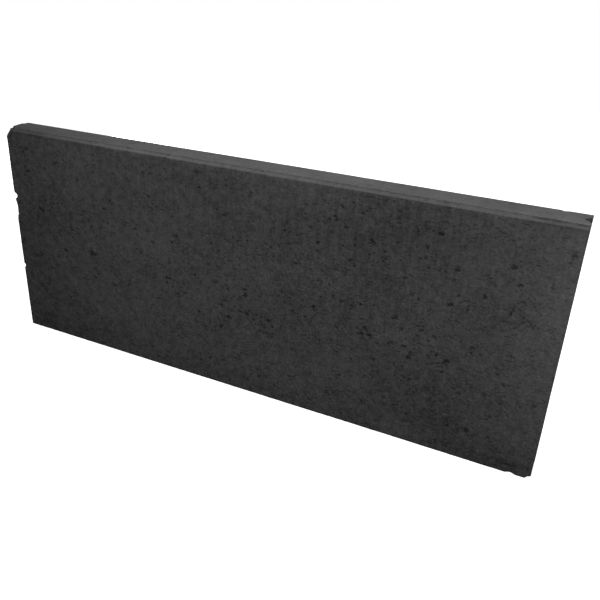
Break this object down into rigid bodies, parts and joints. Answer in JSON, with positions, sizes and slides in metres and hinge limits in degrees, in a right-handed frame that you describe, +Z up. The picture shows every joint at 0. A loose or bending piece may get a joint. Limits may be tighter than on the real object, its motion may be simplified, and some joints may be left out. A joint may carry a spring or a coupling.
{
  "type": "concrete edging stone",
  "caption": "Upright cast concrete edging slab with facetted top edges, a tongue on one end and a matching groove in the other.",
  "frame": {"origin": "centre of the underside, midway between the two end faces", "axes": "+X along the stone to the grooved end, +Y through the thickness to the back, +Z up to the finished top edge"},
  "size_m": [1.008, 0.06, 0.4],
  "materials": {
    "concrete": "matte"
  },
  "bodies": {
    "root": {"edging_stone": "concrete"}
  },
  "joints": []
}
